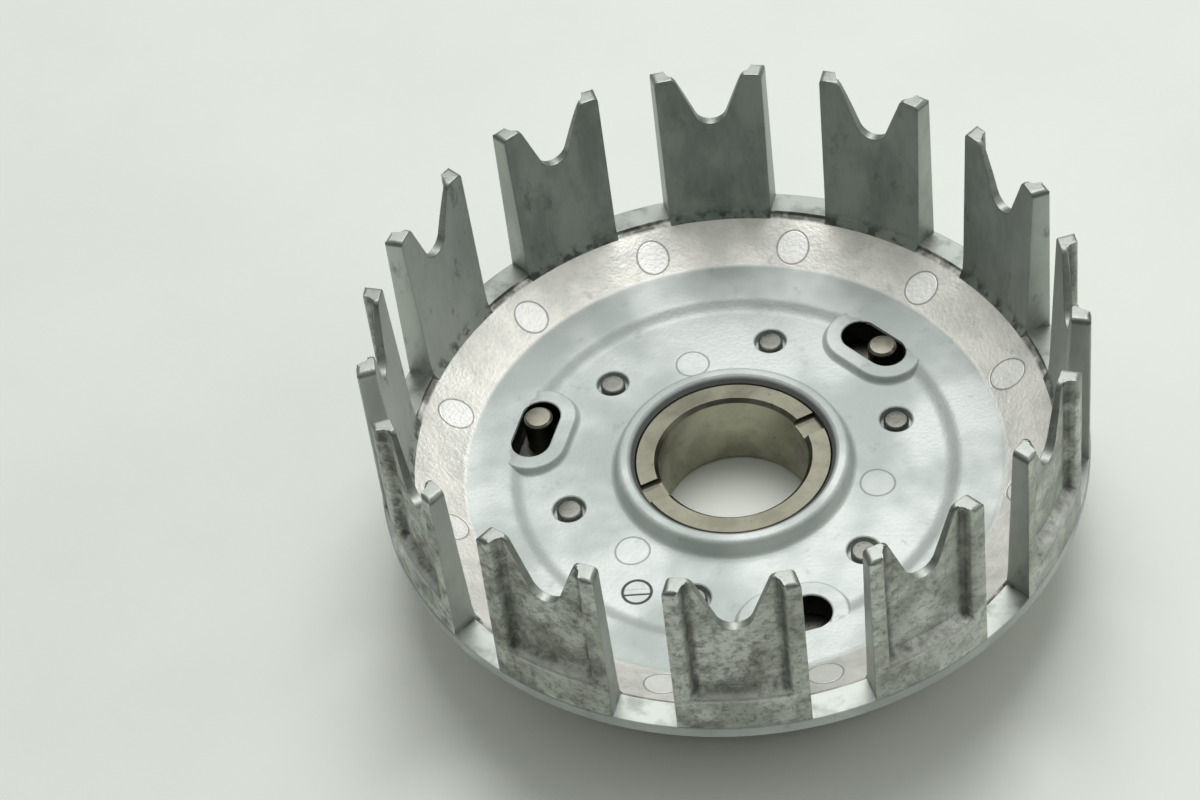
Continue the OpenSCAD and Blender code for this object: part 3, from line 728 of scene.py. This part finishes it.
def rivet_column():
    """The column behind the floor that a rivet passes through."""
    column = spun("rivet_column", ((2.65, COLUMN_FOOT, 0), (2.65, 15, 0), (4.2, 15, 0), (4.2, COLUMN_FOOT, 0.3)), 40)
    return smooth(moved_out(column, RIVET_CIRCLE))


def upper_edge(edge, foot):
    """Whether an edge bounds a face that looks up, on a finger's tips or in its notch."""
    return (corner_edge(edge, 50) and middle(edge).z > foot - 1 and abs(middle(edge).y) < 12.9 and along(edge).x < 0.6
            and max(f.normal.z for f in edge.link_faces) > 0.15)


def finger(sizes):
    """One finger, modelled flat as an outline pulled sideways, pocketed, notched and rounded, then wrapped round the drum."""
    bore, sill = sizes.bore_radius, sizes.sill
    outline = rounded(((82.0, 25.6, 0), (82.15, sill, 0), (80.75, TIP, 0), (76.5, TIP, 0), (76.03, 33.5, 14.0),
                       (75.75, 29.3, 3.0), (74.4, 26.3, 0), (75.0, 25.0, 0)))
    flat = drawn("finger", [(r, -20, z) for r, z in outline])
    pulled(0, 40, 0)
    inner = math.degrees(math.asin(sizes.gap / 2 / bore))
    outer = math.degrees(math.asin(sizes.gap / 2 / 82))
    at_bore, at_rim = (bore * math.radians(180 / FINGERS - a) for a in (inner, outer))
    slope = (at_rim - at_bore) / (82 - bore)
    for side in (1, -1):
        bpy.ops.mesh.select_all(action="SELECT")
        bpy.ops.mesh.bisect(plane_co=(bore * MM, side * at_bore * MM, 0), plane_no=(-slope, side, 0),
                            use_fill=True, clear_outer=True)
    tidy(flat)
    pocket = fresh(bpy.ops.mesh.primitive_cube_add, "pocket_tool", size=2 * MM)
    corners = {(-1, -1): (79.0, 8.9, 39.6), (-1, 1): (77.9, 9.4, 76), (1, -1): (84.2, 11.2, 36.2), (1, 1): (84.2, 11.2, 76)}
    for (out, up), (r, half, z) in corners.items():
        for side in (1, -1):
            choose(pocket, "VERT", lambda v: v.co.x * out > 0 and v.co.z * up > 0 and v.co.y * side > 0 and abs(v.co.x) < 2 * MM)
            shift(r - out, side * (half - 1), z - up)
    for test, width in ((lambda e: along(e).z > 0.9 and middle(e).z < 76 and middle(e).x < 80, 0.9),
                        (lambda e: along(e).x > 0.5 and middle(e).z < 60, 3.2),
                        (lambda e: along(e).y > 0.9 and middle(e).x < 80 and middle(e).z < 60, 2.0)):
        choose(pocket, "EDGE", test)
        bpy.ops.mesh.bevel(offset=width * MM, segments=5, affect="EDGES", clamp_overlap=True)
    tidy(pocket)
    half, foot, round_r = sizes.notch_width / 2, TIP - sizes.notch_depth, 3.8
    arc = [math.radians(-159 + 138 * k / 10) for k in range(11)]
    side = [(round_r * math.cos(a), foot + round_r + round_r * math.sin(a)) for a in arc]
    lean = (half - side[-1][0]) / (TIP - side[-1][1])
    mouth = half + 3 * lean
    notch = drawn("notch_tool", [(70, t, z) for t, z in [(-mouth, TIP + 3)] + side + [(mouth, TIP + 3)]])
    pulled(20, 0, 0)
    tidy(notch)
    opened(cut(cut(flat, pocket), notch))
    # the outer skin's edges are cast round: the prongs' corners, the pocket's rim, the tips and notch, then its web.
    # The cutter leaves finer ones: round the inner face, then at the outer corners of the sides
    for test, width, segments in (
            (lambda e: middle(e).z > TIP - 0.01 and along(e).x > 0.7
             and (abs(abs(middle(e).y) - half) < 0.2 or abs(middle(e).y) > half + 3), 1.3, 5),
            (lambda e: corner_edge(e, 25) and middle(e).x > 80.2 and abs(middle(e).y) < 12
             and 36.5 < middle(e).z < TIP - 1.6, 0.7, 4),
            (lambda e: upper_edge(e, foot) and middle(e).x > 80.2, 1.0, 4),
            (lambda e: upper_edge(e, foot) and 77.2 < middle(e).x < 78.05, 0.6, 4),
            (lambda e: corner_edge(e, 38) and middle(e).x < 76.56 and middle(e).z > 29 and along(e).x < 0.5, sizes.edge, 2),
            (lambda e: corner_edge(e, 38) and middle(e).x > 80.4 and abs(middle(e).y) > 12.7
             and along(e).z > 0.9, sizes.edge, 2)):
        choose(flat, "EDGE", test)
        bpy.ops.mesh.bevel(offset=width * MM, segments=segments, affect="EDGES", clamp_overlap=False)
    opened(flat)
    bpy.ops.mesh.select_mode(type="VERT")
    for k in range(-7, 8):
        bpy.ops.mesh.select_all(action="SELECT")
        bpy.ops.mesh.bisect(plane_co=(0, (k * 1.75 + 0.01) * MM, 0), plane_no=(0, 1, 0))
    wrap(flat, bore)
    tidy(flat, merge=0.0005)
    return smooth(flat, 34)


def wrap(piece, bore):
    """Wraps a flat piece round the drum: each line of vertices is brought to the middle and turned to its own angle."""
    shape = bmesh.from_edit_mesh(piece.data)
    lines = []
    for y in sorted({round(v.co.y / MM, 4) for v in shape.verts}):
        if not lines or y - lines[-1] > 0.0008:
            lines.append(y)
    homes = {v.index: min(lines, key=lambda line: abs(line - v.co.y / MM)) for v in shape.verts}
    for line in lines:
        choose(piece, "VERT", lambda v: homes.get(v.index) == line)
        shift(y=-line)
        turn(math.degrees(line / bore))


def moved_out(piece, r, z=0.0):
    """Moves a piece modelled on the axis out to radius r and up by z, in mm, its place kept in its mesh."""
    opened(piece)
    shift(x=r, z=z)
    bpy.ops.object.mode_set(mode="OBJECT")
    return piece


def set_round(piece, body, slot, names, first):
    """Copies a piece to equal angles from the first, in degrees, one in place of each CAD node named."""
    for i, name in enumerate(names):
        copy = copied(piece, f"{name}_shape", first + 360 * i / len(names))
        stands_for(copy, body, slot, name)
    bpy.data.objects.remove(piece)


def coil_spring(name, outer, wire, turns, length, hand, sides, steps=24):
    """A coil spring along Y, centred on the origin: a ring of wire extruded and turned step by step, one nearly shut turn
    at each end, and both ends ground flat."""
    ring = (outer - wire) / 2
    shut = 1.08 * wire
    pitch = (length - 2 * shut) / (turns - 2)
    spring = fresh(bpy.ops.mesh.primitive_circle_add, name, vertices=sides, radius=wire / 2 * MM, fill_type="NGON",
                   location=(ring * MM, -length / 2 * MM * hand, 0))
    settled()
    bpy.ops.mesh.select_mode(type="FACE")
    bpy.ops.mesh.select_all(action="SELECT")
    for step in range(round(turns * steps)):
        at = step / steps
        rise = (shut if at < 1 or at >= turns - 1 else pitch) / steps
        bpy.ops.mesh.extrude_region_move(TRANSFORM_OT_translate={"value": (0, rise * hand * MM, 0)})
        turn(360 / steps, axis="Y")
    for end in (-1, 1):
        bpy.ops.mesh.select_all(action="SELECT")
        bpy.ops.mesh.bisect(plane_co=(0, end * length / 2 * MM, 0), plane_no=(0, end, 0), use_fill=True, clear_outer=True)
    return smooth(tidy(spring, merge=0.0005), 40)


def sharp_copy(node, name, width, sharp=28):
    """A copy of a CAD node with clean faces and its edges broken by width mm."""
    only(bpy.data.objects[node])
    bpy.ops.object.duplicate(linked=False)
    piece = bpy.context.object
    bpy.ops.object.parent_clear(type="CLEAR_KEEP_TRANSFORM")
    for key in list(piece.keys()):
        del piece[key]
    piece.name = piece.data.name = name
    piece.data.materials.clear()
    bpy.ops.object.mode_set(mode="EDIT")
    bpy.ops.mesh.select_mode(type="VERT")
    bpy.ops.mesh.select_all(action="SELECT")
    bpy.ops.mesh.customdata_custom_splitnormals_clear()
    bpy.ops.mesh.remove_doubles(threshold=0.001 * MM)
    bpy.ops.mesh.select_all(action="SELECT")
    bpy.ops.mesh.dissolve_limited(angle_limit=math.radians(0.6))
    bpy.ops.object.mode_set(mode="OBJECT")
    return edges_broken(piece, width, sharp)


class CLUTCH_OT_casting(bpy.types.Operator):
    """Models the die-cast drum: turned bowl, twelve fingers, slot pads and rivet columns"""
    bl_idname = "clutch.casting"
    bl_label = "Die-cast drum"

    def execute(self, context):
        sizes, finishes = context.scene.casting_sizes, context.scene.finishes
        cast = cast_aluminium(finishes)
        seat = worn_seat("oil-stained broached aluminium", finishes.seat_light, finishes.seat_dark)
        skin, bright = weathered_skin(finishes), turned_aluminium(finishes)
        side = worn_seat("tab-rubbed broached aluminium", finishes.side_light, finishes.side_dark)
        tip = formed_steel("bright cast aluminium tip", "#ABAFAA", "#8D918B", 0.5, pit=0.3)
        notch_foot = TIP - sizes.notch_depth
        body = bowl(sizes)
        finish_with(body, cast)
        finish_with(body, bright, lambda f: f.normal.z > 0.9 and middle(f).z > sizes.sill - 0.3)
        one = finger(sizes)
        finish_with(one, skin)
        finish_with(one, seat, lambda f: f.normal.x < -0.5 and abs(f.normal.y) < 0.5 and radius(middle(f)) < 77)
        finish_with(one, seat, lambda f: f.normal.x < -0.05 and middle(f).z < sizes.sill + 3 and radius(middle(f)) < 77)
        finish_with(one, side, lambda f: abs(f.normal.y) > 0.8 and abs(middle(f).y) > 12)
        finish_with(one, tip, lambda f: middle(f).z > notch_foot - 1 and f.normal.z > 0.15 and radius(middle(f)) < 81.2)
        fingers = [copied(one, f"finger_{i}", 360 * i / FINGERS) for i in range(FINGERS)]
        pad, column = finish_with(slot_pad(), cast), finish_with(rivet_column(), cast)
        # painted shade: the walls inside the stop pins' slots get a near-black finish for the shade down in them
        slot_shade_finish = formed_steel("die-cast aluminium darkened for the slots' painted shade", "#4B4A44", "#2C2B27", 0.45, pit=0.2)
        finish_with(pad, slot_shade_finish, lambda f: abs(f.normal.z) < 0.3 and 15.5 < middle(f).z < FLOOR_TOP + 1.2 and off_slot(f) < 5.6)
        pads = [copied(pad, f"pad_{i}", SLOT_ANGLE + 120 * i) for i in range(DAMPERS)]
        columns = [copied(column, f"column_{i}", RIVET_ANGLE + 60 * i) for i in range(RIVETS)]
        for spare in (one, pad, column):
            bpy.data.objects.remove(spare)
        drum = joined("drum_casting", *fingers, *pads, *columns, body)
        stands_for(drum, "housing", "cast_aluminium", "clutch_basket")
        return {"FINISHED"}


class CLUTCH_OT_hub(bpy.types.Operator):
    """Turns the hub sleeve and mills its two oil notches"""
    bl_idname = "clutch.hub"
    bl_label = "Hub sleeve"

    def execute(self, context):
        sizes = context.scene.steel_sizes
        bore, outside, top = sizes.hub_bore / 2, sizes.hub / 2, HUB_TOP
        hub = spun("hub", ((bore, 0.9, 0.15), (bore, top - 0.9, 0.15), (bore + 0.9, top, 0.15), (outside - 0.4, top, 0.12),
                           (outside, top - 0.4, 0.12), (outside, 0.4, 0.12), (outside - 0.4, 0, 0.12),
                           (bore + 0.9, 0, 0.15)), 160)
        cutters = []
        for degrees in (24.7, 204.7):
            mill = fresh(bpy.ops.mesh.primitive_cube_add, "mill", size=2 * MM)
            bpy.ops.mesh.select_all(action="SELECT")
            bpy.ops.transform.resize(value=(6, sizes.notch / 2, 2))
            shift(x=20.5, z=top - 1.6 + 2)
            choose(mill, "EDGE", lambda e: middle(e).z < top - 1 and abs(e.verts[0].co.x - e.verts[1].co.x) > 2 * MM)
            bpy.ops.mesh.bevel(offset=0.8 * MM, segments=4, affect="EDGES", clamp_overlap=True)
            tidy(mill)
            cutters.append(copied(mill, "mill_cut", degrees))
            bpy.data.objects.remove(mill)
        cut(hub, *cutters)
        edges_broken(hub, 0.12, 50)
        finish_with(hub, turned_steel("ground hub steel", "#79786B", "#5A584D", 0.4, grime=0.6))
        honed = turned_steel("honed bore steel", "#BDBBA9", "#A3A08D", 0.3, grime=0.7)
        finish_with(hub, honed, lambda f: radius(middle(f)) < bore + 0.1 and abs(f.normal.z) < 0.3)
        stands_for(hub, "gear", "hub_steel", "hub_sleeve")
        return {"FINISHED"}


class CLUTCH_OT_pins(bpy.types.Operator):
    """Turns a stop pin and sets the three of them in the gear"""
    bl_idname = "clutch.pins"
    bl_label = "Stop pins"

    def execute(self, context):
        low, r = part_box("stop_pin_1")[0][2] / MM, context.scene.steel_sizes.pin / 2
        pin = spun("pin", ((0, low, 0), (r - 0.4, low, 0.1), (r, low + 0.4, 0.1), (r, PIN_TOP - 0.55, 0.3),
                           (r - 0.55, PIN_TOP, 0.3), (0, PIN_TOP, 0)), 64, closed=False)
        smooth(moved_out(pin, PIN_CIRCLE))
        finish_with(pin, turned_steel("ground silver steel", "#838176", "#625F55", 0.36, grime=0.35))
        set_round(pin, "gear", "pin_steel", [f"stop_pin_{i + 1}" for i in range(DAMPERS)], PIN_ANGLE)
        return {"FINISHED"}


class CLUTCH_OT_rivets(bpy.types.Operator):
    """Heads a rivet and sets the six of them through the drum and the backing plate"""
    bl_idname = "clutch.rivets"
    bl_label = "Rivets"

    def execute(self, context):
        low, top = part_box("rivet_1")[0][2] / MM, FLOOR_TOP
        rivet = spun("rivet", ((0, low + 0.02, 0), (3.4, low, 1.0), (4.8, low + 0.55, 0.4), (4.8, low + 1.4, 0),
                               (2.6, low + 1.4, 0), (2.6, top - 2.2, 0), (3.0, top - 2.2, 0), (3.0, top - 0.35, 0.3),
                               (2.55, top - 0.04, 0.3), (1.2, top, 0), (0, top - 0.03, 0)), 48, closed=False)
        smooth(moved_out(rivet, RIVET_CIRCLE))
        finish_with(rivet, formed_steel("headed rivet steel", "#7E7F78", "#5C5D57", 0.42))
        set_round(rivet, "housing", "rivet_steel", [f"rivet_{i + 1}" for i in range(RIVETS)], RIVET_ANGLE)
        return {"FINISHED"}


class CLUTCH_OT_springs(bpy.types.Operator):
    """Winds the damper springs: an outer and an inner one for each window"""
    bl_idname = "clutch.springs"
    bl_label = "Damper springs"

    def execute(self, context):
        length = context.scene.steel_sizes.spring_length
        for kind, outer, wire, turns, hand, sides, light, dark in (("outer_spring", 12.0, 2.2, 6.5, 1, 14, "#6D6C66", "#4A4944"),
                                                                   ("inner_spring", 6.8, 1.3, 9.5, -1, 10, "#8A8982", "#605F59")):
            spring = moved_out(coil_spring(kind, outer, wire, turns, length, hand, sides), SPRING_CIRCLE, SPRING_Z)
            finish_with(spring, formed_steel(f"oil-tempered {kind.replace('_', ' ')} wire", light, dark, 0.36, pit=0.25))
            for i in range(DAMPERS):
                degrees = SPRING_ANGLE + 120 * i
                wound = stands_for(copied(spring, f"{kind}_{i + 1}_shape", degrees), "housing", "spring_steel", f"{kind}_{i + 1}")
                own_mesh(wound)
            bpy.data.objects.remove(spring)
        return {"FINISHED"}


class CLUTCH_OT_gear(bpy.types.Operator):
    """Finishes the primary driven gear: every edge of its teeth, windows and slots is broken"""
    bl_idname = "clutch.gear"
    bl_label = "Driven gear"

    def execute(self, context):
        gear = sharp_copy("driven_gear", "gear_wheel", 0.22)
        finish_with(gear, formed_steel("hobbed case-hardened steel", "#8A8982", "#5E5D57", 0.42))
        flanks = turned_steel("run-in tooth steel", "#C2C0B7", "#9A988F", 0.26, grime=0.25)
        finish_with(gear, flanks, lambda f: abs(f.normal.z) < 0.3 and radius(middle(f)) > 62)
        stands_for(gear, "gear", "gear_steel", "driven_gear")
        return {"FINISHED"}


class CLUTCH_OT_plates(bpy.types.Operator):
    """Finishes the backing plate and makes the two washers"""
    bl_idname = "clutch.plates"
    bl_label = "Backing plate and washers"

    def execute(self, context):
        plate = sharp_copy("backing_plate", "backing_sheet", 0.3)
        finish_with(plate, formed_steel("pressed cold-rolled steel", "#B4B5AE", "#8A8B84", 0.36))
        stands_for(plate, "housing", "plate_steel", "backing_plate")
        (_, _, low), (across, _, high) = [[c / MM for c in corner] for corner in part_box("friction_washer")]
        flat = spun("flat_washer", ((25.3, low, 0.2), (25.3, high, 0.2), (across, high, 0.2), (across, low, 0.2)), 120)
        finish_with(smooth(flat), formed_steel("blued washer steel", "#77787A", "#55565A", 0.34))
        stands_for(flat, "housing", "washer_steel", "friction_washer")
        (_, _, low), (across, _, high) = [[c / MM for c in corner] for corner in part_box("dished_washer")]
        dish = spun("spring_washer", ((25.3, high - 0.5, 0.12), (25.3, high, 0.12),
                                      (across, low + 0.5, 0.12), (across, low, 0.12)), 120)
        finish_with(smooth(dish), formed_steel("hardened washer steel", "#8B8B85", "#62625D", 0.34))
        stands_for(dish, "housing", "washer_steel", "dished_washer")
        return {"FINISHED"}


class CLUTCH_OT_stage(bpy.types.Operator):
    """Sets the table, the soft studio light and the camera"""
    bl_idname = "clutch.stage"
    bl_label = "Table, light and camera"

    def execute(self, context):
        settings = context.scene.stage_settings
        table = fresh(bpy.ops.mesh.primitive_plane_add, "table", size=6)
        bpy.ops.object.mode_set(mode="OBJECT")
        finish_with(table, painted_top(settings.table))
        for name, place, size, power in (("overhead", settings.key_place, settings.key_size, settings.key_power),
                                         ("side", settings.fill_place, 0.9, settings.fill_power)):
            lamp = bpy.data.objects.new(name, bpy.data.lights.new(name, "AREA"))
            lamp.data.shape, lamp.data.size, lamp.data.energy = "DISK", size, power
            context.scene.collection.objects.link(lamp)
            lamp.location = place
            lamp.rotation_euler = (-lamp.location).to_track_quat("-Z", "Y").to_euler()
        world = bpy.data.worlds.new("soft room")
        world.use_nodes = True
        tree = world.node_tree
        tree.nodes.clear()
        height = add(tree, "VectorMath", {0: add(tree, "TexCoord", out=0), 1: (0, 0.35, 0.94)}, out=0, operation="DOT_PRODUCT")
        rise = add(tree, "MapRange", {"Value": height, "From Min": -0.1, "From Max": 0.9}, interpolation_type="SMOOTHSTEP")
        light = add(tree, "MapRange", {"Value": rise, "To Min": settings.horizon, "To Max": settings.ceiling})
        add(tree, "OutputWorld", {"Surface": add(tree, "Background", {"Color": linear("#F2F5F1"), "Strength": light})})
        context.scene.world = world
        context.scene.view_settings.view_transform = "Standard"
        camera = bpy.data.objects.new("camera", bpy.data.cameras.new("camera"))
        context.scene.collection.objects.link(camera)
        camera.data.lens, camera.data.sensor_width, camera.data.clip_start = settings.lens, 36, 0.01
        camera.location = settings.camera_place
        ahead, up = (Vector(v).normalized() for v in (settings.camera_ahead, settings.camera_up))
        camera.rotation_euler = Matrix((ahead.cross(up), up, -ahead)).transposed().to_euler()
        context.scene.camera = camera
        return {"FINISHED"}


class CLUTCH_PT_panel(bpy.types.Panel):
    """Sizes, colours and building steps of the clutch basket"""
    bl_idname = "CLUTCH_PT_panel"
    bl_label = "Clutch basket"
    bl_space_type = "VIEW_3D"
    bl_region_type = "UI"
    bl_category = "Clutch basket"

    def draw(self, context):
        scene = context.scene
        for title, group in (("Casting", scene.casting_sizes), ("Steel pieces", scene.steel_sizes),
                             ("Finishes", scene.finishes), ("Stage", scene.stage_settings)):
            box = self.layout.box()
            box.label(text=title)
            for key in group.bl_rna.properties.keys():
                if key not in ("rna_type", "name"):
                    box.prop(group, key)
        for piece in PIECES:
            self.layout.operator(piece.bl_idname)


PIECES = (CLUTCH_OT_casting, CLUTCH_OT_hub, CLUTCH_OT_pins, CLUTCH_OT_rivets, CLUTCH_OT_springs, CLUTCH_OT_gear,
          CLUTCH_OT_plates, CLUTCH_OT_stage)
GROUPS = {"casting_sizes": CastingSizes, "steel_sizes": SteelSizes, "finishes": Finishes, "stage_settings": StageSettings}


def register():
    """Registers the classes and hangs the settings on the scene."""
    for cls in (*GROUPS.values(), *PIECES, CLUTCH_PT_panel):
        bpy.utils.register_class(cls)
    for name, cls in GROUPS.items():
        setattr(bpy.types.Scene, name, bpy.props.PointerProperty(type=cls))


def unregister():
    """Takes them off again."""
    for name in GROUPS:
        delattr(bpy.types.Scene, name)
    for cls in reversed((*GROUPS.values(), *PIECES, CLUTCH_PT_panel)):
        bpy.utils.unregister_class(cls)


def main():
    """Builds every piece in order, then the stage."""
    register()
    bpy.ops.clutch.casting()
    bpy.ops.clutch.hub()
    bpy.ops.clutch.pins()
    bpy.ops.clutch.rivets()
    bpy.ops.clutch.springs()
    bpy.ops.clutch.gear()
    bpy.ops.clutch.plates()
    bpy.ops.clutch.stage()


if __name__ == "__main__":
    main()
